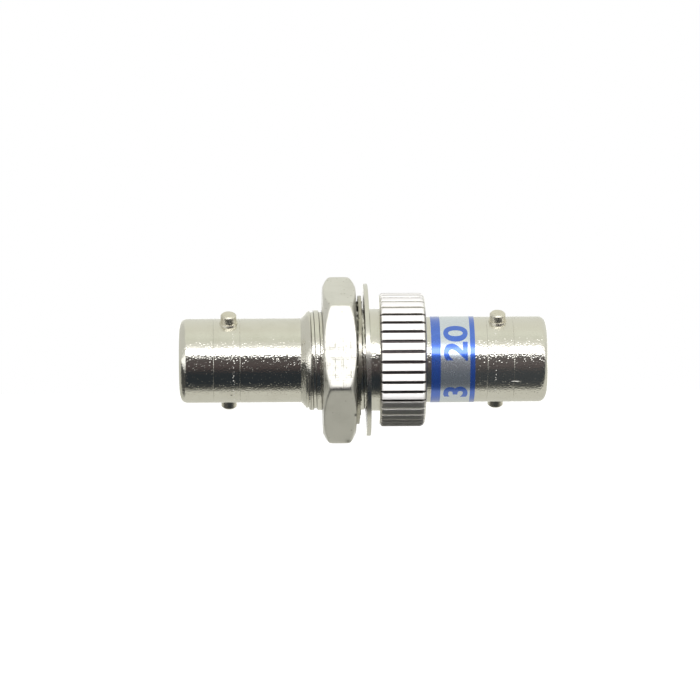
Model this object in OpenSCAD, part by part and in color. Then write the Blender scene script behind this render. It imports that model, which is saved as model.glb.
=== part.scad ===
// Fixed optical attenuator with a bayonet port at each end, held in a panel by its nut.
// The long axis is X. The panel seats on the knurled shoulder's face at X = 0, and +Z is up.
// The front port points to -X, on the side of the thread, and the rear port to +X.

/* [Overall lengths] */
// From the shoulder face to the front end
front_len = 18.9; // [17:0.1:23]
// From the shoulder face to the rear end
rear_len = 15.9; // [14:0.1:20]
// From the shoulder face to the start of the thread
neck_len = 6.25; // [5.5:0.05:8]

/* [Ports] */
// Outer radius of the front barrel
front_r = 4; // [3.8:0.01:4.2]
// Outer radius of the rear barrel
rear_r = 4.06; // [3.8:0.01:4.2]
// Bore radius of both ports
port_r = 3.1; // [2.9:0.05:3.3]
// Rounding of a barrel's outer end
end_round = 0.8; // [0.3:0.05:0.85]
// Chamfer at the mouth of a port
mouth_chamfer = 0.08; // [0.05:0.01:0.1]
// Lug centre from the barrel's end
lug_from_end = 4.7; // [4.2:0.05:5.4]
// Turned hairline nearer the barrel's end, from that end
hairline_near = 3.25; // [3:0.05:3.3]
// Turned hairline on the far side of the lug, from the same end
hairline_far = 5.75; // [5.7:0.05:6]
// Depth of a turned hairline
hairline_depth = 0.03; // [0.02:0.01:0.05]
// Width of the key slot
key_w = 1.5; // [1.2:0.05:2]
// Length of the key slot
key_len = 2.6; // [2:0.05:3]

/* [Bayonet lugs] */
// Radius of a lug
lug_r = 0.75; // [0.6:0.05:0.9]
// Lug tip from the long axis
lug_reach = 4.95; // [4.7:0.05:5.4]
// Bevel round the tip of a lug
lug_bevel = 0.14; // [0.05:0.01:0.2]
// Width of the raised ring round the foot of a lug
lug_foot_w = 0.08; // [0.05:0.01:0.12]
// Height of the raised ring
lug_foot_h = 0.12; // [0.08:0.01:0.2]
// Turn of the lugs from the vertical, upper lug towards the front
lug_turn = 28; // [0:1:45]

/* [Neck and collar] */
// Outer radius of the thread
thread_r = 4.76; // [4.6:0.01:5]
// Angle of the collar's cone to the long axis
collar_angle = 46; // [40:0.5:60]
// Rounding of the collar's big end
collar_round = 1; // [0.4:0.01:1.1]
// Length of the plain land before the shoulder
land_len = 0.9; // [0.6:0.05:1]
// Height of the plain land over the thread
land_h = 0.1; // [0.05:0.01:0.12]

/* [Knurled shoulder] */
// Radius over the knurl
knurl_r = 6.32; // [6:0.01:7.5]
// Length of the knurled shoulder
knurl_len = 4.35; // [3.6:0.05:5.2]
// Number of grooves
knurl_count = 40; // [30:1:44]
// Turn of the first groove
knurl_turn = 2; // [0:0.1:9]
// Depth of a groove
groove_depth = 0.26; // [0.15:0.01:0.35]
// Half width of a groove at its floor
groove_floor = 0.07; // [0.04:0.01:0.1]
// Half width of a groove under its rounded lips
groove_half = 0.14; // [0.12:0.01:0.18]
// Half width of a groove over its lips
groove_lip = 0.24; // [0.2:0.01:0.27]
// Depth of the lips
lip_depth = 0.07; // [0.04:0.01:0.1]
// Chamfer of the shoulder's panel side
knurl_chamfer = 0.28; // [0.1:0.01:0.5]
// Rounding of the shoulder's rear side
knurl_round = 0.55; // [0.3:0.01:0.8]

/* [Hexagon nut] */
// Size across the flats
nut_af = 14; // [13:0.1:16]
// Thickness
nut_t = 3.1; // [2.5:0.1:3.4]
// How far the chamfer's circle lies inside the flats
nut_chamfer_in = 0.05; // [0:0.01:0.5]
// Angle of the chamfer
nut_chamfer_angle = 25; // [20:1:35]
// Depth of the countersink at the front end of the bore
nut_sink = 0.4; // [0.2:0.05:0.8]
// Clearance of the rear countersink outside the lock washer's teeth
sink_clear = 0.12; // [0.1:0.01:0.3]
// Running clearance of the nut round the thread
nut_clear = 0.04; // [0.02:0.01:0.08]
// Turn of the nut's front flat above the horizontal
nut_turn = 10.4; // [0:0.1:60]

/* [Washers] */
// Outer radius of the flat washer
flat_r = 7.23; // [6.5:0.01:9]
// Thickness of the flat washer
flat_t = 0.4; // [0.3:0.05:0.5]
// Clearance of the flat washer round the plain land
flat_clear = 0.09; // [0.08:0.01:0.2]
// Lean of the flat washer, top towards the nut
flat_lean = 1.1; // [0:0.1:1.2]
// From the shoulder face to the flat washer
flat_gap = 0.94; // [0.85:0.01:1.1]
// Length of a lock washer's tooth, from the clearance round the land to its ring
tooth_len = 0.53; // [0.4:0.01:0.8]
// Thickness of the lock washer
lock_t = 0.3; // [0.2:0.05:0.35]
// Width of the lock washer's ring
lock_ring_w = 0.62; // [0.5:0.01:0.65]
// Clearance of the teeth round the plain land
lock_clear = 0.09; // [0.08:0.01:0.15]
// Number of teeth
tooth_count = 14; // [10:1:16]
// Width of a tooth
tooth_w = 1.1; // [0.8:0.05:1.1]
// Twist of a tooth out of the ring
tooth_twist = 12; // [5:1:12]
// Lean of the lock washer, top towards the shoulder
lock_lean = 1; // [0:0.1:1.1]
// From the flat washer to the lock washer's ring
lock_gap = 0.43; // [0.38:0.01:0.6]
// From the lock washer's ring to the nut
nut_gap = 0.14; // [0.14:0.01:0.6]

/* [Label] */
// Start of the label behind the shoulder
label_gap = 0.5; // [0.2:0.05:0.8]
// Width of the label
label_w = 4.12; // [3:0.01:4.4]
// Thickness of the foil
label_t = 0.05; // [0.03:0.01:0.1]
// Width of the seam at the back
label_seam = 0.25; // [0.1:0.05:0.5]

/* [Joint of the two bodies] */
// Radius of the rear body's spigot
spigot_r = 3.6; // [3.4:0.05:3.8]
// Length of the spigot
spigot_len = 4; // [3:0.05:4.2]
// Thickness of the front sleeve holder's flange
flange_t = 0.8; // [0.5:0.05:1]
// Lead chamfer of the spigot and of the holders
lead = 0.12; // [0.05:0.01:0.2]

/* [Sleeve and stub] */
// Ferrule radius, the bore of the split sleeve
ferrule_r = 1.25; // [1.2:0.01:1.3]
// Wall of the split sleeve
sleeve_wall = 0.35; // [0.3:0.01:0.4]
// Length of the split sleeve
sleeve_len = 14.4; // [11.4:0.1:18]
// Width of the sleeve's slot
sleeve_slot = 0.4; // [0.2:0.05:0.6]
// Play of the sleeve in its holders, all round and at each end
sleeve_play = 0.05; // [0.03:0.01:0.1]
// Wall of a sleeve holder
holder_wall = 0.95; // [0.6:0.05:1.1]
// Thickness of the holder's end wall
holder_end = 0.75; // [0.5:0.05:1]
// Radius of the ferrule's way through the end wall
guide_r = 1.45; // [1.42:0.01:1.5]
// Length of the attenuating stub
stub_len = 4.8; // [3:0.1:6]
// Bevel at each end of the stub
stub_bevel = 0.25; // [0.1:0.05:0.4]
// Radius of the doped fibre
fibre_r = 0.0625; // [0.06:0.0005:0.07]

/* [Hidden] */
$fn = 96;

// How far a cut runs past the face that it opens
past = 1;

// Inside the bodies, from the middle of the two ends outwards
middle_x = (rear_len - front_len) / 2;
sleeve_half = sleeve_len / 2;
sleeve_r = ferrule_r + sleeve_wall;
cavity_r = sleeve_r + sleeve_play;
cavity_half = sleeve_half + sleeve_play;
holder_r = cavity_r + holder_wall;
holder_half = cavity_half + holder_end;
front_floor_x = middle_x - holder_half;
rear_floor_x = middle_x + holder_half;
spigot_x = knurl_len - spigot_len;

// Along the neck
land_r = thread_r + land_h;
cone_x = -neck_len - collar_round * sin(collar_angle);
cone_r = thread_r - collar_round * (1 - cos(collar_angle));
collar_x = cone_x - (cone_r - front_r) / tan(collar_angle);

// Lock washer
tooth_in = land_r + lock_clear;
lock_ring_in = tooth_in + tooth_len;
tooth_root_r = lock_ring_in + lock_ring_w / 8;
lock_r = lock_ring_in + lock_ring_w;

// The loose stack between the shoulder and the nut
flat_x = -flat_gap - flat_t / 2;
lock_x = flat_x - flat_t / 2 - lock_gap - lock_t / 2;
nut_x = lock_x - lock_t / 2 - nut_gap - nut_t;

// A solid turned about the long axis, from a profile whose X is the radius and whose Y runs along
module turned() {
    rotate([0, 90, 0]) rotate_extrude() children();
}

// One length of a profile, from one radius out to another
module ring_2d(r_in, r_out, x0, x1) {
    translate([r_in, x0]) square([r_out - r_in, x1 - x0]);
}

// The waste outside a rounded outer edge, side -1 for an edge that faces -X and 1 for +X
module edge_waste_2d(r_out, x_end, size, side) {
    translate([r_out - size, x_end - side * size]) scale([1, side]) difference() {
        square(size + past);
        circle(size);
    }
}

// The waste outside a chamfered outer edge
module chamfer_waste_2d(r_out, x_end, size, side) {
    translate([r_out, x_end]) scale([1, side])
        polygon([[-size, 0], [0, -size], [past, -size], [past, past], [-size, past]]);
}

// The V of a turned hairline
module hairline_2d(r_out, x) {
    translate([r_out, x])
        polygon([[-hairline_depth, 0], [past, -hairline_depth - past], [past, hairline_depth + past]]);
}

// The flare at a port's mouth
module mouth_2d(x_end, side) {
    translate([0, x_end]) scale([1, side]) polygon([
        [0, -mouth_chamfer], [port_r, -mouth_chamfer], [port_r + mouth_chamfer, 0],
        [port_r + mouth_chamfer, past], [0, past]
    ]);
}

// A lug's place on a barrel, with the lug along Z
module at_lug(x, turn) {
    translate([x, 0, 0]) rotate([lug_turn + turn, 0, 0]) children();
}

// Cross holes for both lugs, and the milled key slot a quarter turn round from them
module port_cuts(x_end, side) {
    lug_x = x_end - side * lug_from_end;
    slot_x = x_end - side * (key_len - key_w / 2);
    for (turn = [0, 180])
        at_lug(lug_x, turn) cylinder(h = lug_reach, r = lug_r);
    translate([slot_x, 0, 0]) rotate([lug_turn - 90, 0, 0]) {
        cylinder(h = lug_reach, r = key_w / 2);
        translate([side > 0 ? 0 : -key_len - past, -key_w / 2, 0]) cube([key_len + past, key_w, lug_reach]);
    }
}

// The knurl's section across the long axis
module knurl_2d() {
    difference() {
        circle(knurl_r);
        for (i = [0 : knurl_count - 1])
            rotate(knurl_turn + i * 360 / knurl_count) translate([knurl_r, 0]) polygon([
                [-groove_depth, -groove_floor], [-groove_depth, groove_floor],
                [-lip_depth, groove_half], [0, groove_lip], [past, groove_lip],
                [past, -groove_lip], [0, -groove_lip], [-lip_depth, -groove_half]
            ]);
    }
}

// The knurled shoulder, with its panel side chamfered and its rear side rounded
module knurled_shoulder() {
    intersection() {
        rotate([0, 90, 0]) linear_extrude(knurl_len) knurl_2d();
        turned() difference() {
            ring_2d(0, knurl_r + past, 0, knurl_len);
            chamfer_waste_2d(knurl_r, 0, knurl_chamfer, -1);
            edge_waste_2d(knurl_r, knurl_len, knurl_round, 1);
        }
    }
}

// Front barrel, collar, neck and knurled shoulder, turned in one piece
module front_body() {
    color("gainsboro") difference() {
        union() {
            turned() difference() {
                union() {
                    ring_2d(0, front_r, -front_len, collar_x);
                    polygon([[0, collar_x], [front_r, collar_x], [cone_r, cone_x], [0, cone_x]]);
                    difference() {
                        ring_2d(0, thread_r, cone_x, 0);
                        edge_waste_2d(thread_r, -neck_len - collar_round, collar_round, -1);
                    }
                    ring_2d(0, land_r, -land_len, 0);
                }
                edge_waste_2d(front_r, -front_len, end_round, -1);
                for (d = [hairline_near, hairline_far]) hairline_2d(front_r, d - front_len);
            }
            knurled_shoulder();
        }
        turned() {
            ring_2d(0, port_r, -front_len - past, front_floor_x);
            mouth_2d(-front_len, -1);
            ring_2d(0, holder_r, front_floor_x - past, knurl_len);
            ring_2d(0, spigot_r, spigot_x - flange_t, knurl_len + past);
        }
        port_cuts(-front_len, -1);
    }
}

// Rear barrel with the spigot that seats in the shoulder
module rear_body() {
    color("gainsboro") difference() {
        turned() difference() {
            union() {
                ring_2d(0, rear_r, knurl_len, rear_len);
                ring_2d(0, spigot_r, spigot_x, knurl_len);
            }
            edge_waste_2d(rear_r, rear_len, end_round, 1);
            chamfer_waste_2d(spigot_r, spigot_x, lead, -1);
            for (d = [hairline_near, hairline_far]) hairline_2d(rear_r, rear_len - d);
        }
        turned() {
            ring_2d(0, port_r, rear_floor_x, rear_len + past);
            mouth_2d(rear_len, 1);
            ring_2d(0, holder_r, spigot_x - past, rear_floor_x + past);
        }
        port_cuts(rear_len, 1);
    }
}

// A pressed bayonet lug, with the ring of metal that its pressing raised round its foot
module lug(x, turn, barrel_r) {
    tip_z = lug_reach - lug_bevel;
    foot_r = lug_r + lug_foot_w;
    color("silver") {
        at_lug(x, turn) {
            translate([0, 0, port_r]) cylinder(h = tip_z - port_r, r = lug_r);
            translate([0, 0, tip_z]) cylinder(h = lug_bevel, r1 = lug_r, r2 = lug_r - lug_bevel);
        }
        difference() {
            at_lug(x, turn) translate([0, 0, barrel_r - lug_foot_h]) difference() {
                cylinder(h = 2 * lug_foot_h, r1 = foot_r + lug_foot_w, r2 = foot_r);
                translate([0, 0, -past]) cylinder(h = 2 * (lug_foot_h + past), r = lug_r);
            }
            turned() ring_2d(0, barrel_r, x - lug_from_end, x + lug_from_end);
        }
    }
}

// Nut with both ends chamfered and its bore countersunk
module hex_nut() {
    apothem = nut_af / 2;
    corner_r = apothem / cos(30);
    bore_r = thread_r + nut_clear;
    rear_sink_r = tooth_root_r + sink_clear;
    rear_sink_x = nut_t - (rear_sink_r - bore_r);
    chamfer_r = apothem - nut_chamfer_in;
    chamfer_x = (corner_r + past - chamfer_r) * tan(nut_chamfer_angle);
    color("gainsboro") translate([nut_x, 0, 0]) difference() {
        intersection() {
            rotate([0, 90, 0]) rotate(-nut_turn) linear_extrude(nut_t) circle(corner_r, $fn = 6);
            turned() polygon([
                [0, 0], [chamfer_r, 0], [corner_r + past, chamfer_x],
                [corner_r + past, nut_t - chamfer_x], [chamfer_r, nut_t], [0, nut_t]
            ]);
        }
        turned() {
            ring_2d(0, bore_r, -past, nut_t + past);
            polygon([[0, 0], [bore_r + nut_sink, 0], [bore_r, nut_sink], [0, nut_sink]]);
            polygon([[0, nut_t], [rear_sink_r, nut_t], [bore_r, rear_sink_x], [0, rear_sink_x]]);
        }
    }
}

// Lock washer with twisted teeth on its inside
module lock_washer() {
    color("dimgray") translate([lock_x, 0, 0]) rotate([0, lock_lean, 0]) {
        turned() ring_2d(lock_ring_in, lock_r, -lock_t / 2, lock_t / 2);
        for (i = [0 : tooth_count - 1])
            rotate([i * 360 / tooth_count, 0, 0]) translate([0, 0, tooth_in]) rotate(tooth_twist)
                translate([-lock_t / 2, -tooth_w / 2, 0]) cube([lock_t, tooth_w, tooth_root_r - tooth_in]);
    }
}

// Plain flat washer
module flat_washer() {
    color("lightgray") translate([flat_x, 0, 0]) rotate([0, -flat_lean, 0])
        turned() ring_2d(land_r + flat_clear, flat_r, -flat_t / 2, flat_t / 2);
}

// Foil label wrapped round the rear barrel, with its seam at the back
module label() {
    label_x = knurl_len + label_gap;
    color("royalblue") difference() {
        turned() ring_2d(rear_r, rear_r + label_t, label_x, label_x + label_w);
        translate([label_x - past, 0, -label_seam / 2]) cube([label_w + 2 * past, rear_r + past, label_seam]);
    }
}

// Half of the pair that holds the sleeve: the end wall is at x_end and the open end at x_open
module sleeve_holder(x_end, x_open, side) {
    cavity_x = x_end - side * holder_end;
    turned() difference() {
        translate([0, x_open]) scale([1, side]) square([holder_r, side * (x_end - x_open)]);
        translate([0, x_open]) scale([1, side]) square([cavity_r, side * (cavity_x - x_open)]);
        translate([0, x_open]) scale([1, side]) square([guide_r, side * (x_end - x_open) + past]);
        chamfer_waste_2d(holder_r, x_end, lead, side);
        translate([guide_r, x_end]) scale([1, side])
            polygon([[-past, 0], [0, -lead], [lead, 0], [lead, past], [-past, past]]);
    }
}

// Front sleeve holder, whose flange is trapped between the two bodies
module front_sleeve_holder() {
    color("goldenrod") union() {
        sleeve_holder(front_floor_x, spigot_x, -1);
        turned() ring_2d(cavity_r, spigot_r, spigot_x - flange_t, spigot_x);
    }
}

// Rear sleeve holder, pressed into the rear body
module rear_sleeve_holder() {
    color("goldenrod") sleeve_holder(rear_floor_x, spigot_x, 1);
}

// Split sleeve that lines the plugs' ferrules up with the stub
module split_sleeve() {
    color("ivory") translate([middle_x, 0, 0]) difference() {
        turned() ring_2d(ferrule_r, sleeve_r, -sleeve_half, sleeve_half);
        translate([-sleeve_half - past, 0, -sleeve_slot / 2])
            cube([sleeve_len + 2 * past, sleeve_r + past, sleeve_slot]);
    }
}

// Ceramic stub in the middle of the sleeve, between the two plugs' ferrules
module attenuating_stub() {
    color("white") translate([middle_x, 0, 0]) turned() difference() {
        ring_2d(fibre_r, ferrule_r, -stub_len / 2, stub_len / 2);
        for (side = [-1, 1])
            chamfer_waste_2d(ferrule_r, side * stub_len / 2, stub_bevel, side);
    }
}

// Doped fibre along the middle of the stub
module doped_fibre() {
    color("lightcyan") translate([middle_x, 0, 0])
        turned() ring_2d(0, fibre_r, -stub_len / 2, stub_len / 2);
}

front_body();
rear_body();
lug(lug_from_end - front_len, 0, front_r);  // front_upper_lug
lug(lug_from_end - front_len, 180, front_r);  // front_lower_lug
lug(rear_len - lug_from_end, 0, rear_r);  // rear_upper_lug
lug(rear_len - lug_from_end, 180, rear_r);  // rear_lower_lug
hex_nut();
lock_washer();
flat_washer();
label();
front_sleeve_holder();
rear_sleeve_holder();
split_sleeve();
attenuating_stub();
doped_fibre();
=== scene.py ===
# Bayonet fibre attenuator: looks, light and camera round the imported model
import math

import bmesh
import bpy
from mathutils import Matrix, Vector


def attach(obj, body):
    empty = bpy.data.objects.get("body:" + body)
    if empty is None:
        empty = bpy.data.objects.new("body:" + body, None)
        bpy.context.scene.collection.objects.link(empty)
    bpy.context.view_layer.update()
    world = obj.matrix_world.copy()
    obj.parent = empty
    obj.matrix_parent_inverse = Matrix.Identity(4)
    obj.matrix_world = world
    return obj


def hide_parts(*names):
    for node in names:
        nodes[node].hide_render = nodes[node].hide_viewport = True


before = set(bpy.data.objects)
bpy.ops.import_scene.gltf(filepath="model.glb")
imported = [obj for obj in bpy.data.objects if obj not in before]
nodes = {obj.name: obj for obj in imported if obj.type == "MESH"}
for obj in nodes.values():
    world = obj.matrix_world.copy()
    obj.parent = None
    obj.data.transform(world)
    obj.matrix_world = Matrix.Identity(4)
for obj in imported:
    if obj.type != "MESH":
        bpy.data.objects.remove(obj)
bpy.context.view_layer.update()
mm = 0.001
print("model loaded:", len(nodes), "nodes")


def feed(tree, socket, value):
    # links another node's output, or sets a plain value
    if isinstance(value, bpy.types.NodeSocket):
        tree.links.new(value, socket)
    else:
        socket.default_value = value


def addNode(tree, kind, inputs=None, **settings):
    made = tree.nodes.new("ShaderNode" + kind)
    for key, value in settings.items():
        setattr(made, key, value)
    for key, value in (inputs or {}).items():
        feed(tree, made.inputs[key], value)
    return made


def mathNode(tree, operation, a, b=0.0):
    return addNode(tree, "Math", {0: a, 1: b}, operation=operation).outputs[0]


def times(tree, a, b):
    return mathNode(tree, "MULTIPLY", a, b)


def larger(tree, a, b):
    return mathNode(tree, "MAXIMUM", a, b)


def within(tree, value, low, high):
    return times(tree, mathNode(tree, "GREATER_THAN", value, low), mathNode(tree, "LESS_THAN", value, high))


def mapRange(tree, value, fromMin, fromMax, toMin=0.0, toMax=1.0, smooth=False):
    kind = "SMOOTHSTEP" if smooth else "LINEAR"
    return addNode(tree, "MapRange", {0: value, 1: fromMin, 2: fromMax, 3: toMin, 4: toMax},
                   interpolation_type=kind).outputs[0]


def mixColour(tree, factor, a, b):
    return addNode(tree, "Mix", {0: factor, 6: a, 7: b}, data_type="RGBA").outputs[2]


def mixValue(tree, factor, a, b):
    return mapRange(tree, factor, 0.0, 1.0, a, b)


def objectMm(tree):
    coords = addNode(tree, "TexCoord").outputs["Object"]
    return addNode(tree, "VectorMath", {0: coords, "Scale": 1 / mm}, operation="SCALE").outputs[0]


def axesMm(tree):
    return addNode(tree, "SeparateXYZ", {0: objectMm(tree)}).outputs


def noise(tree, scale, detail):
    inputs = {"Vector": objectMm(tree), "Scale": scale, "Detail": detail}
    return addNode(tree, "TexNoise", inputs).outputs[0]


def noiseAlong(tree, measure, detail):
    inputs = {"W": measure, "Scale": 1.0, "Detail": detail}
    return addNode(tree, "TexNoise", inputs, noise_dimensions="1D").outputs[0]


def distanceFrom(tree, spot):
    return addNode(tree, "VectorMath", {0: objectMm(tree), 1: spot}, operation="DISTANCE").outputs["Value"]


def bumpNormal(tree, height, depth, **more):
    sockets = {"Height": height, "Distance": depth * mm, "Strength": 1.0, **more}
    return addNode(tree, "Bump", sockets).outputs[0]


def startGroup(name, inputs, outputs):
    group = bpy.data.node_groups.new(name, "ShaderNodeTree")
    for label, value in inputs.items():
        socket = group.interface.new_socket(name=label, in_out="INPUT", socket_type="NodeSocketFloat")
        socket.default_value = value
    for label, kind in outputs.items():
        group.interface.new_socket(name=label, in_out="OUTPUT", socket_type="NodeSocket" + kind)
    return group, group.nodes.new("NodeGroupInput").outputs, group.nodes.new("NodeGroupOutput").inputs


def useGroup(tree, group, **values):
    # pitSize=0.3 sets or links the group's input Pit Size
    made = addNode(tree, "Group")
    made.node_tree = group
    for key, value in values.items():
        feed(tree, made.inputs["".join(" " + c if c.isupper() else c for c in key).title()], value)
    return made.outputs


def newMaterial(name, **sockets):
    # Coat_Weight=1.0 sets the shader's input Coat Weight
    mat = bpy.data.materials.new(name)
    mat.use_nodes = True
    shader = mat.node_tree.nodes["Principled BSDF"].inputs
    for label, value in sockets.items():
        shader[label.replace("_", " ")].default_value = value
    return mat, mat.node_tree, shader


def dress(obj, material):
    obj.data.materials.clear()
    obj.data.materials.append(material)


def objectFromMesh(bm, name, material):
    mesh = bpy.data.meshes.new(name)
    bm.to_mesh(mesh)
    bm.free()
    made = bpy.data.objects.new(name, mesh)
    bpy.context.scene.collection.objects.link(made)
    dress(made, material)
    return made


def pieceFromMesh(bm, name, body, material, sharpAngle=30):
    piece = objectFromMesh(bm, name, material)
    piece.data.polygons.foreach_set("use_smooth", [True] * len(piece.data.polygons))
    piece.data.set_sharp_from_angle(angle=math.radians(sharpAngle))
    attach(piece, body)
    return piece


def wholeMesh(bm):
    return bm.verts[:] + bm.edges[:] + bm.faces[:]


def buildPlatePeel(s):
    # the orange peel of thin bright plate, with small pits here and there
    group, give, take = startGroup("platePeel", {
        "Peel Size": 0.5, "Peel Height": 1.0, "Pit Size": 0.4, "Pit Amount": 0.2, "Pit Height": 1.0,
    }, {"Height": "Float", "Pits": "Float"})
    peel = noise(group, mathNode(group, "DIVIDE", 1.0, give["Peel Size"]), s["peelDetail"])
    pitScale = mathNode(group, "DIVIDE", 1.0, give["Pit Size"])
    cells = addNode(group, "TexVoronoi", {"Vector": objectMm(group), "Scale": pitScale}).outputs
    chosen = addNode(group, "SeparateColor", {0: cells["Color"]}).outputs[0]
    here = mathNode(group, "LESS_THAN", chosen, give["Pit Amount"])
    pits = times(group, here, mapRange(group, cells["Distance"], *s["pitBowl"], 1.0, 0.0, smooth=True))
    raised = times(group, mathNode(group, "SUBTRACT", peel, 0.5), give["Peel Height"])
    sunk = times(group, pits, give["Pit Height"])
    group.links.new(mathNode(group, "SUBTRACT", raised, sunk), take["Height"])
    group.links.new(pits, take["Pits"])
    return group


def buildTurningLines(s):
    # the fine rings that a lathe leaves round the long axis
    group, give, take = startGroup("turningLines", {"Line Width": 0.05, "Waver": 0.02}, {"Height": "Float"})
    drift = times(group, noise(group, *s["lineDrift"]), give["Waver"])
    wavy = mathNode(group, "ADD", axesMm(group)[0], drift)
    pace = mathNode(group, "DIVIDE", wavy, give["Line Width"])
    group.links.new(noiseAlong(group, pace, s["lineDetail"]), take["Height"])
    return group


def buildSoftEdge(s):
    # a small rounding of every edge
    group, give, take = startGroup("softEdge", {"Radius": 0.05 * mm}, {"Normal": "Vector"})
    rounded = addNode(group, "Bevel", {"Radius": give["Radius"]}, samples=s["edgeSamples"]).outputs[0]
    group.links.new(rounded, take["Normal"])
    return group


surfaceWear = {
    "peelDetail": 0.4, "pitBowl": (0.05, 0.42), "lineDrift": (0.8, 1.0), "lineDetail": 3.0,
    "edgeSamples": 6,
}
platePeel = buildPlatePeel(surfaceWear)
turningLines = buildTurningLines(surfaceWear)
softEdge = buildSoftEdge(surfaceWear)


grainFrom = (0.3, 0.7)  # the part of a noise over which roughness changes
# what every plated finish has, unless its own settings say otherwise; lengths are in mm
plating = {
    "stain": 0.25, "stainFrom": (0.45, 0.75), "cloud": (0.55, 4.0), "haze": 0.0,
    "pitDirt": 0.6, "trackPits": 0.0, "tracks": [], "dents": [], "dentDepth": 3.0, "nicks": [],
    "scuffs": [], "scuffDirt": 0.8, "bareRoughness": 0.7, "bareMetallic": 0.1, "waver": 0.02,
    "endFaces": (0.8, 0.98, 1.0, 0.2), "edge": 0.05,
    "trackCore": 0.5, "dentCore": 0.3, "nickCore": 0.6,  # the share of a mark at its full strength
}
barrelFinish = {
    "colour": (0.76, 0.745, 0.69, 1), "shade": (0.60, 0.57, 0.50, 1), "roughness": (0.08, 0.16),
    "peel": (0.15, 1.3), "pits": (0.18, 0.5, 0.95), "pitDirt": 0.08, "relief": 0.012, "lines": (0.09, 0.03),
    "tracks": [(-13.76, 0.13), (10.91, 0.1)], "trackPits": 0.6,
    "dents": [((-13.98, -2.35, -3.24), 0.13)], "nicks": [((12.78, -3.48, -2.1), 0.05, 10.0)],
}
rearFinish = {**barrelFinish, "peel": (0.15, 1.6), "pits": (0.2, 0.5, 1.1), "haze": 0.022}
threadFinish = {**barrelFinish, "edge": 0.03}
nutFinish = {
    "colour": (0.80, 0.79, 0.75, 1), "shade": (0.3, 0.28, 0.22, 1), "roughness": (0.42, 0.46),
    "peel": (0.25, 0.8), "pits": (0.3, 0.06, 0.3), "relief": 0.006, "lines": (0.07, 0.5), "stain": 0.12,
    "scuffs": [{"spot": (-3.8, -6.9, -0.4), "reach": (1.6, 3.2), "width": 0.15, "lineDetail": 1.0,
                "lineFrom": (0.48, 0.7), "broken": (2.2, 2.0), "brokenFrom": (0.45, 0.62)}],
}
washerFinish = {
    "colour": (0.75, 0.74, 0.69, 1), "shade": (0.6, 0.58, 0.52, 1), "roughness": (0.22, 0.32),
    "peel": (0.5, 0.5), "pits": (0.5, 0.1, 0.8), "relief": 0.004, "lines": (0.06, 0.03), "edge": 0.04,
}
lugFinish = {
    "colour": (0.78, 0.75, 0.66, 1), "shade": (0.55, 0.49, 0.36, 1), "roughness": (0.3, 0.42),
    "peel": (0.3, 0.6), "pits": (0.35, 0.25, 1.0), "relief": 0.005, "lines": (0.06, 0.02), "edge": 0.04,
}
springFinish = {
    "colour": (0.52, 0.5, 0.43, 1), "shade": (0.08, 0.078, 0.07, 1), "roughness": (0.24, 0.34),
    "peel": (0.3, 1.5), "pits": (0.35, 0.45, 1.2), "relief": 0.01, "lines": (0.05, 0.0), "edge": 0.03,
}
# ridges are told apart by their radius; roughness is that of floor, wall and land. The dark floor and wall
# colours are painted shade in the grooves
knurlRidges = {
    "span": (0.02, 4.33), "over": 4.9, "wallR": (6.13, 6.19), "landR": (6.24, 6.3),
    # painted shade: near-black groove floors and grey walls stand for the shade deep in the knurl's grooves
    "floor": (0.1, 0.085, 0.09, 1), "wall": (0.6, 0.58, 0.56, 1), "land": (0.92, 0.9, 0.885, 1),
    "roughness": (0.4, 0.3, 0.5), "metallic": 0.04,
    "ends": [(0.21, 0.28, 0.07, 0.0), (3.95, 4.02, 0.0, 0.07)],
    # painted light: a light tone on the grooves high and low on the ring, where their walls catch the light
    "litGroovesZ": [(-4.3, -3.9, 1.0, 0.0), (4.2, 5.0, 0.0, 1.0)], "grooveLightTone": (0.82, 0.81, 0.78, 1),
}
threadRidges = {
    "span": (-6.5, -0.9), "over": 4.5, "wallR": (4.605, 4.64), "landR": (4.72, 4.755),
    # painted shade: dark thread flanks stand for the shade in the grooves
    "floor": (0.76, 0.745, 0.69, 1), "wall": (0.16, 0.15, 0.135, 1), "land": (0.76, 0.745, 0.69, 1),
    "roughness": (0.15, 0.35, 0.15), "metallic": 1.0, "ends": [], "litGroovesZ": [],
}


def markMasks(tree, s):
    # the worn tracks that plugs leave round the barrels, single dents, and long bright nicks
    worn = dents = nicks = 0.0
    for at, half in s["tracks"]:
        off = mathNode(tree, "ABSOLUTE", mathNode(tree, "SUBTRACT", axesMm(tree)[0], at))
        worn = larger(tree, worn, mapRange(tree, off, half * s["trackCore"], half, 1.0, 0.0))
    for spot, radius in s["dents"]:
        core = radius * s["dentCore"]
        bowl = mapRange(tree, distanceFrom(tree, spot), core, radius, 1.0, 0.0, smooth=True)
        dents = larger(tree, dents, bowl)
    for spot, radius, length in s["nicks"]:
        off = addNode(tree, "VectorMath", {0: objectMm(tree), 1: spot}, operation="SUBTRACT").outputs[0]
        off = addNode(tree, "VectorMath", {0: off, 1: (1 / length, 1, 1)}, operation="MULTIPLY").outputs[0]
        off = addNode(tree, "VectorMath", {0: off}, operation="LENGTH").outputs["Value"]
        nicks = larger(tree, nicks, mapRange(tree, off, radius * s["nickCore"], radius, 1.0, 0.0))
    return worn, dents, nicks


def scuffMask(tree, s):
    # fine crossed marks over one patch, as a spanner leaves them
    x, _, z = axesMm(tree)
    lines = [noiseAlong(tree, mathNode(tree, "DIVIDE", axis, s["width"]), s["lineDetail"])
             for axis in (x, z)]
    crossed = mapRange(tree, larger(tree, *lines), *s["lineFrom"])
    broken = mapRange(tree, noise(tree, *s["broken"]), *s["brokenFrom"])
    patch = mapRange(tree, distanceFrom(tree, s["spot"]), *s["reach"], 1.0, 0.0, smooth=True)
    return times(tree, times(tree, crossed, broken), patch)


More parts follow.
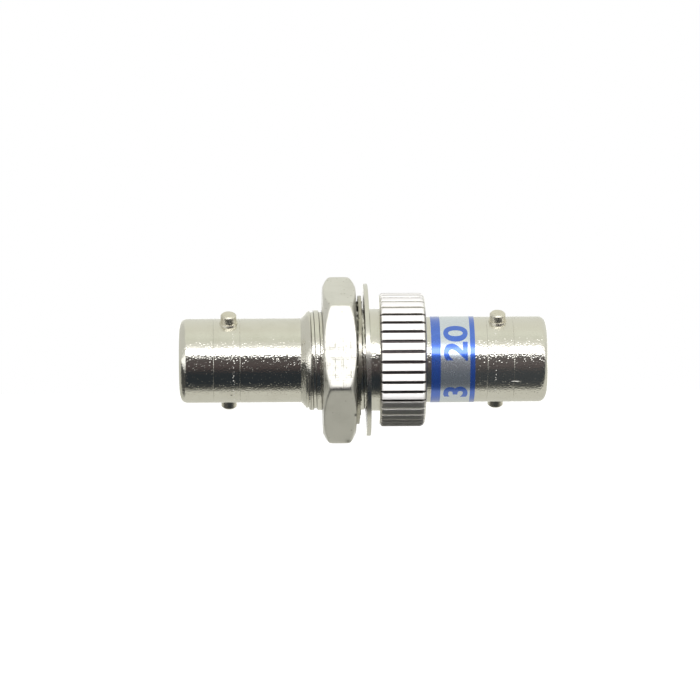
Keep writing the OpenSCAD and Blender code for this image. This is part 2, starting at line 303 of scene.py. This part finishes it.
def ridgeLook(tree, s, colour, roughness, metallic):
    # floors, walls and lands of the knurl or the thread, with painted shade in the grooves
    x, y, z = axesMm(tree)
    across = addNode(tree, "CombineXYZ", {1: y, 2: z}).outputs[0]
    radius = addNode(tree, "VectorMath", {0: across}, operation="LENGTH").outputs["Value"]
    here = times(tree, within(tree, x, *s["span"]), mathNode(tree, "GREATER_THAN", radius, s["over"]))
    for cut in s["ends"]:  # lands keep their look down the chamfers
        radius = mathNode(tree, "ADD", radius, mapRange(tree, x, *cut))
    wall, land = mapRange(tree, radius, *s["wallR"]), mapRange(tree, radius, *s["landR"])
    groove = mixColour(tree, wall, s["floor"], s["wall"])
    for rise in s["litGroovesZ"]:  # painted light: grooves take a light tone high and low on the ring, where their walls catch the light
        groove = mixColour(tree, mapRange(tree, z, *rise), groove, s["grooveLightTone"])
    onFloor, onWall, onLand = s["roughness"]
    grain = mixValue(tree, land, mixValue(tree, wall, onFloor, onWall), onLand)
    dull = mixValue(tree, times(tree, here, land), 1.0, s["metallic"])
    return (mixColour(tree, here, colour, mixColour(tree, land, groove, s["land"])),
            mixValue(tree, here, roughness, grain), mathNode(tree, "MINIMUM", metallic, dull))


def platedMetal(name, finish, ridges=None):
    s = {**plating, **finish}
    mat, tree, shader = newMaterial(name)
    peelSize, peelHeight = s["peel"]
    pitSize, pitAmount, pitHeight = s["pits"]
    lineWidth, lineHeight = s["lines"]
    worn, dents, nicks = markMasks(tree, s)
    amount = mathNode(tree, "ADD", pitAmount, times(tree, worn, s["trackPits"]))
    # faces square to the long axis are turned finer than the barrels
    facing = addNode(tree, "SeparateXYZ", {0: addNode(tree, "TexCoord").outputs["Normal"]}).outputs[0]
    calm = mapRange(tree, mathNode(tree, "ABSOLUTE", facing), *s["endFaces"])
    peel = useGroup(tree, platePeel, peelSize=peelSize, peelHeight=times(tree, calm, peelHeight),
                    pitSize=pitSize, pitAmount=amount, pitHeight=times(tree, calm, pitHeight))
    lines = useGroup(tree, turningLines, lineWidth=lineWidth, waver=s["waver"])
    rounded = useGroup(tree, softEdge, radius=s["edge"] * mm)
    cloud = noise(tree, *s["cloud"])
    dirt = times(tree, mapRange(tree, cloud, *s["stainFrom"]), s["stain"])
    dirt = larger(tree, dirt, times(tree, peel["Pits"], s["pitDirt"]))
    dirt = larger(tree, dirt, dents)
    for patch in s["scuffs"]:
        dirt = larger(tree, dirt, times(tree, scuffMask(tree, patch), s["scuffDirt"]))
    colour = mixColour(tree, dirt, s["colour"], s["shade"])
    # bare scattering metal where the plate is broken
    bare = larger(tree, nicks, times(tree, worn, peel["Pits"]))
    roughness = mapRange(tree, cloud, *grainFrom, *s["roughness"])
    roughness = larger(tree, roughness, times(tree, bare, s["bareRoughness"]))
    metallic = mixValue(tree, bare, 1.0 - s["haze"], s["bareMetallic"])
    if ridges:
        colour, roughness, metallic = ridgeLook(tree, ridges, colour, roughness, metallic)
    tree.links.new(colour, shader["Base Color"])
    tree.links.new(roughness, shader["Roughness"])
    tree.links.new(metallic, shader["Metallic"])
    height = mathNode(tree, "ADD", peel["Height"], times(tree, lines["Height"], lineHeight))
    height = mathNode(tree, "SUBTRACT", height, times(tree, dents, s["dentDepth"]))
    tree.links.new(bumpNormal(tree, height, s["relief"], Normal=rounded["Normal"]), shader["Normal"])
    return mat


bodyNickel = platedMetal("bodyNickel", barrelFinish, knurlRidges)
rearNickel = platedMetal("rearNickel", rearFinish)
threadNickel = platedMetal("threadNickel", threadFinish, threadRidges)
nutNickel = platedMetal("nutNickel", nutFinish)
washerNickel = platedMetal("washerNickel", washerFinish)
lugNickel = platedMetal("lugNickel", lugFinish)
darkSpring = platedMetal("darkSpring", springFinish)
print("metals ready")


labelPrint = {
    "bands": [(4.85, 5.72), (8.5, 8.97)],  # along the axis
    # colour, a second tone, and how much of it shows at most
    "foil": ((0.68, 0.75, 0.84, 1), (0.6, 0.64, 0.7, 1), 0.15),
    "ink": ((0.05, 0.155, 0.68, 1), (0.08, 0.19, 0.66, 1), 0.3),
    "grain": (1.5, 2.0), "toneFrom": (0.35, 0.65), "grainDepth": 0.0002,
    "metallic": (0.91, 0.82), "roughness": (0.25, 0.28), "coat": (1.0, 0.06, 1.7),
    "text": [("3", -59.5, -39.0), ("20", -2.0, 50.0)],  # and the angles where each starts and ends
    "footX": 8.3, "headX": 6.0, "boldness": 0.03, "weld": 0.0005, "cutReach": 1e-5, "bends": 16,
    "lift": 0.006, "sunk": 0.2,  # height of the print, and the share of it that lies in the foil
}


def foilMaterial(name, s, inked):
    weight, coatRoughness, index = s["coat"]
    mat, tree, shader = newMaterial(name, Coat_Weight=weight, Coat_Roughness=coatRoughness, Coat_IOR=index)
    grain = noise(tree, *s["grain"])
    foil, ink = (mixColour(tree, mapRange(tree, grain, *s["toneFrom"], 0.0, share), plain, tone)
                 for plain, tone, share in (s["foil"], s["ink"]))
    printed = 1.0
    if not inked:
        along = axesMm(tree)[0]
        printed = mathNode(tree, "ADD", *(within(tree, along, *band) for band in s["bands"]))
    tree.links.new(mixColour(tree, printed, foil, ink), shader["Base Color"])
    tree.links.new(mixValue(tree, printed, *s["metallic"]), shader["Metallic"])
    tree.links.new(mapRange(tree, grain, *grainFrom, *s["roughness"]), shader["Roughness"])
    tree.links.new(bumpNormal(tree, grain, s["grainDepth"]), shader["Normal"])
    return mat


labelFoil = foilMaterial("labelFoil", labelPrint, False)
labelInk = foilMaterial("labelInk", labelPrint, True)


def flatText(text, s):
    curve = bpy.data.curves.new("number", "FONT")
    curve.body = text
    curve.offset = s["boldness"]
    source = bpy.data.objects.new("number", curve)
    bpy.context.scene.collection.objects.link(source)
    mesh = bpy.data.meshes.new_from_object(source.evaluated_get(bpy.context.evaluated_depsgraph_get()))
    bpy.data.objects.remove(source)
    bm = bmesh.new()
    bm.from_mesh(mesh)
    bmesh.ops.remove_doubles(bm, verts=bm.verts, dist=s["weld"])
    return bm


def printNumbers(s):
    # plain numbers wrapped round the foil, reading upwards
    foilRadius = nodes["label"].bound_box[6][2] / mm  # the box's upper corner
    whole = bmesh.new()
    for text, startAngle, endAngle in s["text"]:
        bm = flatText(text, s)
        low = Vector((min(v.co.x for v in bm.verts), min(v.co.y for v in bm.verts), 0))
        high = Vector((max(v.co.x for v in bm.verts), max(v.co.y for v in bm.verts), 0))
        for i in range(1, s["bends"]):  # cuts where the print bends round the barrel
            cut = low.lerp(high, i / s["bends"])
            bmesh.ops.bisect_plane(bm, geom=wholeMesh(bm), dist=s["cutReach"],
                                   plane_co=cut, plane_no=(1, 0, 0))
        sheet = bmesh.ops.extrude_face_region(bm, geom=bm.faces[:])
        top = [g for g in sheet["geom"] if isinstance(g, bmesh.types.BMVert)]
        bmesh.ops.translate(bm, verts=top, vec=(0, 0, 1))
        for v in bm.verts:
            across = (v.co.x - low.x) / (high.x - low.x)
            up = (v.co.y - low.y) / (high.y - low.y)
            angle = math.radians(startAngle + across * (endAngle - startAngle))
            r = foilRadius + s["lift"] * (v.co.z - s["sunk"])
            x = s["footX"] + up * (s["headX"] - s["footX"])
            v.co = Vector((x, -r * math.cos(angle), r * math.sin(angle))) * mm
        bmesh.ops.recalc_face_normals(bm, faces=bm.faces)
        part = bpy.data.meshes.new("number")
        bm.to_mesh(part)
        bm.free()
        whole.from_mesh(part)
    return pieceFromMesh(whole, "label_numbers", "housing", labelInk)


printNumbers(labelPrint)
dress(nodes["label"], labelFoil)
print("label ready")


neckThread = {
    "pitch": 25.4 / 32, "crest": 4.76, "root": 4.6, "core": 4.3, "rootHalf": 0.12, "flank": 0.07,
    "frontGroove": -6.19,  # where a groove crosses the side towards the camera
    "startX": -6.98, "endX": -0.88, "runOut": (-6.84, -6.68), "collarX": -6.25, "collarRound": 1.0,
    "stepsPerTurn": 96, "spareTurns": 3, "profileCuts": 5, "weld": 0.0005, "cutReach": 0.0001,
    "rimReach": 0.002, "sharpAngle": 35,
}
turnedBody = {
    "startX": -6.969, "endX": -0.9, "margin": 0.005, "core": 4.3, "weld": 0.0002, "rimReach": 0.002,
}


def closeTube(bm, s, ends):
    # turns both open ends in to the core radius and joins them there
    loops = []
    for x in ends:
        edges = [e for e in bm.edges
                 if e.is_boundary and all(abs(v.co.x - x * mm) < s["rimReach"] * mm for v in e.verts)]
        made = bmesh.ops.extrude_edge_only(bm, edges=edges)["geom"]
        for v in (g for g in made if isinstance(g, bmesh.types.BMVert)):
            shrink = s["core"] * mm / math.hypot(v.co.y, v.co.z)
            v.co.y *= shrink
            v.co.z *= shrink
        loops += [g for g in made if isinstance(g, bmesh.types.BMEdge) and g.is_boundary]
    bmesh.ops.bridge_loops(bm, edges=loops)
    bmesh.ops.recalc_face_normals(bm, faces=bm.faces)


def buildThread(s):
    bm = bmesh.new()
    half, groove = s["pitch"] / 2, s["rootHalf"] + s["flank"]
    outline = [(-half, s["crest"]), (-groove, s["crest"]), (-s["rootHalf"], s["root"]),
               (s["rootHalf"], s["root"]), (groove, s["crest"]), (half, s["crest"])]
    turns = math.ceil((s["endX"] - s["startX"]) / s["pitch"]) + s["spareTurns"]
    spinX = s["frontGroove"] - 2 * s["pitch"]
    verts = [bm.verts.new(Vector((spinX + x, -r, 0)) * mm) for x, r in outline]
    edges = [bm.edges.new(pair) for pair in zip(verts, verts[1:])]
    bmesh.ops.subdivide_edges(bm, edges=edges, cuts=s["profileCuts"])
    steps = turns * s["stepsPerTurn"]
    bmesh.ops.spin(bm, geom=bm.verts[:] + bm.edges[:], cent=(0, 0, 0), axis=(1, 0, 0),
                   dvec=(turns * s["pitch"] / steps * mm, 0, 0), angle=2 * math.pi * turns, steps=steps)
    bmesh.ops.remove_doubles(bm, verts=bm.verts, dist=s["weld"] * mm)
    first, full = s["runOut"]
    for v in bm.verts:  # the groove runs out towards the collar's rounded edge
        x, r = v.co.x / mm, math.hypot(v.co.y, v.co.z) / mm
        depth = (s["crest"] - r) * min(max((x - first) / (full - first), 0), 1)
        back = min(max(s["collarX"] - x, 0), s["collarRound"])
        surface = s["crest"] - s["collarRound"] + math.sqrt(s["collarRound"] ** 2 - back ** 2)
        v.co.y *= (surface - depth) / r
        v.co.z *= (surface - depth) / r
    for x, side in ((s["startX"], -1), (s["endX"], 1)):
        bmesh.ops.bisect_plane(bm, geom=wholeMesh(bm), dist=s["cutReach"] * mm, plane_co=(x * mm, 0, 0),
                               plane_no=(side, 0, 0), clear_outer=True)
    closeTube(bm, s, (s["startX"], s["endX"]))
    return pieceFromMesh(bm, "neck_thread", "housing", threadNickel, s["sharpAngle"])


def takeNormals(piece, node):
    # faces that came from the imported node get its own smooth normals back
    old, new = nodes[node].data, piece.data
    cameFrom = new.attributes["source"].data
    normals = [(0, 0, 0)] * len(new.loops)
    for face in new.polygons:
        i = cameFrom[face.index].value - 1
        if i < 0:
            continue
        corners = [(old.vertices[old.loops[k].vertex_index].co, old.corner_normals[k].vector)
                   for k in old.polygons[i].loop_indices]
        for k in face.loop_indices:
            spot = new.vertices[new.loops[k].vertex_index].co
            normals[k] = tuple(min(corners, key=lambda c: (c[0] - spot).length_squared)[1])
    new.attributes.remove(new.attributes["source"])
    new.normals_split_custom_set(normals)


def buildFrontBody(s):
    # the turned body with room under its neck for the thread
    bm = bmesh.new()
    bm.from_mesh(nodes["front_body"].data)
    source = bm.faces.layers.int.new("source")
    for i, face in enumerate(bm.faces):
        face[source] = i + 1
    bmesh.ops.remove_doubles(bm, verts=bm.verts, dist=s["weld"] * mm)
    neck = []
    for face in bm.faces:
        x, y, z = face.calc_center_median() / mm
        if s["startX"] + s["margin"] < x < s["endX"] - s["margin"] and math.hypot(y, z) > s["core"]:
            neck.append(face)
    bmesh.ops.delete(bm, geom=neck, context="FACES")
    closeTube(bm, s, (s["startX"], s["endX"]))
    body = pieceFromMesh(bm, "turned_front_body", "housing", bodyNickel)
    takeNormals(body, "front_body")
    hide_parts("front_body")
    return body


hexNut = {
    "ends": (-5.31, -2.21),
    "sinks": ((5.2, -4.91), (5.677, -3.087)),  # radius at the face, and where the sink meets the bore
    "bore": 4.8, "flat": 7.0, "firstFlat": 10.4, "faceR": 6.95, "slope": 2.144, "capR": 8.15,
    "capPower": 30, "cornerPower": 130, "turnedPower": 90, "rows": 40, "boreRows": 46, "steps": 360,
    "ridgeR": 4.66, "ridgeHalf": 0.03, "ridgeFlank": 0.14, "ridgeFade": 0.2,
    "weld": 0.0005, "near": 0.001, "sharpAngle": 24,
    # place and half length along the axis, place and half angle round it, height
    "burrs": [(-2.9, 0.42, -77.5, 1.2, 0.08), (-2.3, 0.12, -48.0, 1.5, 0.12)],
}


def softest(radii, power):
    # the least of some radii, with a rounded change from one to the next
    return sum(r ** -power for r in radii) ** (-1 / power)


def outerRadius(s, x, turn):
    # the hexagon and the turned chamfers meet in soft edges
    start, end = s["ends"]
    turned = softest([s["faceR"] + s["slope"] * min(x - start, end - x), s["capR"]], s["capPower"])
    reach = [math.cos(math.radians(turn - s["firstFlat"] - 60 * side)) / s["flat"] for side in range(6)]
    hexagon = softest([1 / k for k in reach if k > s["near"]], s["cornerPower"])
    radius = softest([turned, hexagon], s["turnedPower"])
    for atX, halfX, atTurn, halfTurn, height in s["burrs"]:
        off = math.hypot((x - atX) / halfX, (turn - atTurn) / halfTurn)
        radius += height * max(1 - off ** 2, 0)
    return radius


def ridgeRise(s, x, turn, thread):
    # the nut's own thread, in step with the neck's grooves
    pitch = thread["pitch"]
    off = (x - thread["frontGroove"] + turn / 360 * pitch + pitch / 2) % pitch - pitch / 2
    share = min(max(1 - (abs(off) - s["ridgeHalf"]) / s["ridgeFlank"], 0), 1)
    (_, start), (_, end) = s["sinks"]
    fade = min(1, (x - start) / s["ridgeFade"], (end - x) / s["ridgeFade"])
    return (s["bore"] - s["ridgeR"]) * share * fade


def buildNut(s, thread):
    bm = bmesh.new()
    (x0, x1), ((sink0, bore0), (sink1, bore1)) = s["ends"], s["sinks"]
    outline = [(x0, sink0), (x0, s["flat"]), (x1, s["flat"]), (x1, sink1),
               (bore1, s["bore"]), (bore0, s["bore"])]
    verts = [bm.verts.new(Vector((x, -r, 0)) * mm) for x, r in outline]
    edges = [bm.edges.new(pair) for pair in zip(verts, verts[1:] + verts[:1])]
    bmesh.ops.subdivide_edges(bm, edges=[edges[1]], cuts=s["rows"] - 1)
    bmesh.ops.subdivide_edges(bm, edges=[edges[4]], cuts=s["boreRows"] - 1)
    bmesh.ops.spin(bm, geom=bm.verts[:] + bm.edges[:], cent=(0, 0, 0), axis=(1, 0, 0), angle=2 * math.pi,
                   steps=s["steps"], use_merge=True)
    bmesh.ops.remove_doubles(bm, verts=bm.verts, dist=s["weld"] * mm)
    for v in bm.verts:
        x, y, z = v.co / mm
        r, turn = math.hypot(y, z), math.degrees(math.atan2(z, -y))
        new = r
        if r > s["flat"] - s["near"]:
            new = outerRadius(s, x, turn)
        elif r < s["bore"] + s["near"]:
            new -= ridgeRise(s, x, turn, thread)
        v.co.y *= new / r
        v.co.z *= new / r
    bmesh.ops.recalc_face_normals(bm, faces=bm.faces)
    nut = pieceFromMesh(bm, "threaded_nut", "nut", nutNickel, s["sharpAngle"])
    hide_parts("hex_nut")
    return nut


buildThread(neckThread)
buildFrontBody(turnedBody)
buildNut(hexNut, neckThread)
print("thread ready")


innerFinish = {
    "holderBronze": {
        "shader": {"Metallic": 1.0}, "grain": (1.2, 4.0), "toneFrom": (0.4, 0.7), "roughness": (0.22, 0.36),
        "tones": ((0.72, 0.56, 0.3, 1), (0.5, 0.36, 0.17, 1)), "lines": (0.08, 0.03), "depth": 0.002,
    },
    "groundZirconia": {
        "shader": {"IOR": 2.1}, "grain": (9.0, 3.0), "toneFrom": (0.4, 0.65), "roughness": (0.14, 0.26),
        "tones": ((0.93, 0.92, 0.88, 1), (0.86, 0.84, 0.78, 1)), "depth": 0.0008,
    },
    "dopedSilica": {
        "shader": {"IOR": 1.46, "Transmission_Weight": 0.6}, "grain": (20.0, 2.0), "toneFrom": (0.0, 1.0),
        "roughness": (0.03, 0.08), "tones": ((0.8, 0.9, 0.92, 1), (0.7, 0.82, 0.86, 1)),
    },
}


def innerMaterial(name):
    s = innerFinish[name]
    mat, tree, shader = newMaterial(name, **s["shader"])
    grain = noise(tree, *s["grain"])
    tone = mapRange(tree, grain, *s["toneFrom"])
    tree.links.new(mixColour(tree, tone, *s["tones"]), shader["Base Color"])
    tree.links.new(mapRange(tree, grain, *grainFrom, *s["roughness"]), shader["Roughness"])
    if "depth" in s:
        height = grain
        if "lines" in s:
            lineWidth, waver = s["lines"]
            height = useGroup(tree, turningLines, lineWidth=lineWidth, waver=waver)["Height"]
        tree.links.new(bumpNormal(tree, height, s["depth"]), shader["Normal"])
    return mat


finishOf = {
    rearNickel: ["rear_body"],
    washerNickel: ["flat_washer"],
    darkSpring: ["lock_washer"],
    lugNickel: ["front_upper_lug", "front_lower_lug", "rear_upper_lug", "rear_lower_lug"],
    innerMaterial("holderBronze"): ["front_sleeve_holder", "rear_sleeve_holder"],
    innerMaterial("groundZirconia"): ["split_sleeve", "attenuating_stub"],
    innerMaterial("dopedSilica"): ["doped_fibre"],
}
for material, names in finishOf.items():
    for name in names:
        dress(nodes[name], material)
print("finishes ready")


# what the metal mirrors, in strips by their angle over the horizon on the camera's side: the cloth, a
# softbox, a dark zone below it, a pale table, and white all round the back
lightTent = {
    "radius": 1.0, "steps": 5, "strength": 3.6,
    "middle": [
        (-180, (1.5, 1.5, 1.5)), (-172, (1.5, 1.5, 1.5)), (-164, (0.67, 0.665, 0.59)),
        (-94, (0.67, 0.665, 0.59)), (-87, (0.28, 0.28, 0.245)), (-80, (0.0805, 0.0805, 0.0735)),
        (-66, (0.0298, 0.036, 0.042)), (-36, (0.0298, 0.036, 0.042)), (-24, (0.063, 0.0525, 0.0525)),
        (-15, (0.098, 0.0805, 0.0805)), (6, (0.102, 0.091, 0.091)), (13, (0.158, 0.158, 0.15)),
        (16, (3.6, 3.6, 3.6)), (28, (3.6, 3.6, 3.6)), (34, (1.25, 1.25, 1.2)), (40, (0.95, 0.95, 0.87)),
        (48, (0.82, 0.82, 0.73)), (58, (0.77, 0.784, 0.675)), (72, (0.861, 0.879, 0.766)),
        (92, (0.805, 0.805, 0.7)), (164, (0.826, 0.837, 0.777)), (172, (1.5, 1.5, 1.5)),
        (180, (1.5, 1.5, 1.5)),
    ],
    # both ends have their own strips, from these angles off the middle
    "leftFrom": (16, 28), "left": [
        (-180, (0.595, 0.595, 0.525)), (-135, (0.525, 0.525, 0.462)), (-115, (0.0875, 0.0875, 0.0805)),
        (-34, (0.063, 0.063, 0.063)), (-18, (0.875, 0.875, 0.84)), (-8, (1.47, 1.47, 1.43)),
        (10, (1.47, 1.47, 1.43)), (20, (0.91, 0.91, 0.857)), (30, (0.665, 0.665, 0.612)),
        (180, (0.665, 0.665, 0.612)),
    ],
    "rightFrom": (58, 76), "right": [
        (-180, (0.595, 0.595, 0.525)), (-60, (0.42, 0.42, 0.385)), (-20, (0.21, 0.21, 0.2)),
        (14, (0.7, 0.7, 0.665)), (40, (0.7, 0.7, 0.647)), (180, (0.7, 0.7, 0.647)),
    ],
}


def stripRamp(tree, share, strips, strongest):
    ramp = addNode(tree, "ValToRGB", {0: share})
    stops = ramp.color_ramp.elements
    for i, (angle, colour) in enumerate(strips):
        at = (angle + 180) / 360
        stop = stops[i] if i < 2 else stops.new(at)  # a new ramp has two stops
        stop.position = at
        stop.color = (*(c / strongest for c in colour), 1)
    return ramp.outputs[0]


def buildTent(s):
    # only the metal sees it
    mat = bpy.data.materials.new("tentCloth")
    mat.use_nodes = True
    tree = mat.node_tree
    tree.nodes.remove(tree.nodes["Principled BSDF"])
    x, y, z = addNode(tree, "SeparateXYZ", {0: addNode(tree, "TexCoord").outputs["Object"]}).outputs
    turn = mathNode(tree, "ARCTAN2", z, times(tree, y, -1.0))
    share = mapRange(tree, turn, -math.pi, math.pi)
    aside = mathNode(tree, "ARCSINE", mathNode(tree, "DIVIDE", x, s["radius"]))
    left = mapRange(tree, aside, *(math.radians(-a) for a in s["leftFrom"]), smooth=True)
    right = mapRange(tree, aside, *(math.radians(a) for a in s["rightFrom"]), smooth=True)
    middle, leftEnd, rightEnd = (stripRamp(tree, share, s[part], s["strength"])
                                 for part in ("middle", "left", "right"))
    cloth = mixColour(tree, right, mixColour(tree, left, middle, leftEnd), rightEnd)
    glow = addNode(tree, "Emission", {0: cloth, 1: s["strength"]})
    tree.links.new(glow.outputs[0], tree.nodes["Material Output"].inputs[0])
    bm = bmesh.new()
    bmesh.ops.create_icosphere(bm, subdivisions=s["steps"], radius=s["radius"])
    tent = objectFromMesh(bm, "light_tent", mat)
    tent.visible_camera = tent.visible_diffuse = tent.visible_shadow = tent.visible_transmission = False


# black paper under and before the knurled shoulder, for the shadow on its lower side: spans in x, y and z
shadowCards = {
    "card_under": [(-7.0, 11.0), (-9.0, 7.0), (-8.6, -8.5)],
    "card_before": [(-7.0, 11.0), (-8.8, -8.7), (-12.0, -3.55)],
}


def buildCard(name, spans):
    low, high = (Vector(corner) * mm for corner in zip(*spans))
    bm = bmesh.new()
    bmesh.ops.create_cube(bm, size=1.0)
    bmesh.ops.scale(bm, verts=bm.verts, vec=high - low)
    bmesh.ops.translate(bm, verts=bm.verts, vec=(low + high) / 2)
    mat, *_ = newMaterial("cardPaper", Roughness=1.0, Base_Color=(0.02, 0.02, 0.02, 1))
    card = objectFromMesh(bm, name, mat)
    card.visible_camera = card.visible_transmission = card.visible_glossy = False


floorPaper = {"z": -0.035, "size": 6.0, "colour": (0.86, 0.86, 0.85, 1), "roughness": 0.9, "glow": 0.8}


def buildFloor(s):
    mat, tree, shader = newMaterial("floorPaper", Roughness=s["roughness"], Base_Color=s["colour"],
                                    Emission_Color=(1, 1, 1, 1))
    seen = addNode(tree, "LightPath").outputs["Is Camera Ray"]
    tree.links.new(times(tree, seen, s["glow"]), shader["Emission Strength"])
    bm = bmesh.new()
    bmesh.ops.create_grid(bm, x_segments=1, y_segments=1, size=s["size"] / 2,
                          matrix=Matrix.Translation((0, 0, s["z"])))
    floor = objectFromMesh(bm, "floor", mat)
    floor.visible_glossy = floor.visible_diffuse = False  # the metal sees the tent's table strips instead


studioLight = {
    "world": (0.86, 0.86, 0.85, 1), "worldStrength": 0.42,
    "lampPower": 4.6, "lampSize": 0.1, "lampPlace": (-0.02, -0.6, 0.03),
}


def buildLight(s):
    # the world is plain white to the camera
    world = bpy.data.worlds.new("studio")
    world.use_nodes = True
    bpy.context.scene.world = world
    tree = world.node_tree
    path = addNode(tree, "LightPath").outputs
    plain = larger(tree, path["Is Camera Ray"], path["Is Transmission Ray"])
    back = tree.nodes["Background"]
    tree.links.new(mixColour(tree, plain, s["world"], (1, 1, 1, 1)), back.inputs[0])
    tree.links.new(mixValue(tree, plain, s["worldStrength"], 1.0), back.inputs[1])
    lamp = bpy.data.lights.new("keySoftbox", "AREA")
    lamp.energy, lamp.size = s["lampPower"], s["lampSize"]
    key = bpy.data.objects.new("keySoftbox", lamp)
    key.location = s["lampPlace"]
    key.rotation_euler = (-key.location).to_track_quat("-Z", "Y").to_euler()
    key.visible_glossy = key.visible_camera = False
    bpy.context.scene.collection.objects.link(key)


buildTent(lightTent)
for name, spans in shadowCards.items():
    buildCard(name, spans)
buildFloor(floorPaper)
buildLight(studioLight)


# footPx is the column that the camera faces squarely, seatPx the place of the model's origin
view = {
    "focalPx": 4000.0, "framePx": 700, "distance": 379.5, "footPx": 250.0, "seatPx": (378.5, 359.9),
    "roll": -0.35, "sensor": 36.0, "clip": (0.01, 20),
}


def buildCamera(s):
    data = bpy.data.cameras.new("camera")
    data.sensor_width = s["sensor"]
    data.lens = s["focalPx"] * s["sensor"] / s["framePx"]
    data.clip_start, data.clip_end = s["clip"]
    camera = bpy.data.objects.new("camera", data)
    bpy.context.scene.collection.objects.link(camera)
    middle = s["framePx"] / 2
    yaw = math.atan((middle - s["footPx"]) / s["focalPx"])
    aside = math.tan(yaw + math.atan((s["seatPx"][0] - middle) / s["focalPx"]))
    above = (s["seatPx"][1] - middle) / s["focalPx"]
    place = Matrix.Translation(Vector((-aside, -1, above)) * s["distance"] * mm)
    turn = Matrix.Rotation(-yaw, 4, "Z") @ Matrix.Rotation(math.pi / 2, 4, "X")
    camera.matrix_world = place @ turn @ Matrix.Rotation(math.radians(s["roll"]), 4, "Z")
    bpy.context.scene.camera = camera


buildCamera(view)
bpy.context.scene.view_settings.view_transform = "Standard"
print("studio ready")
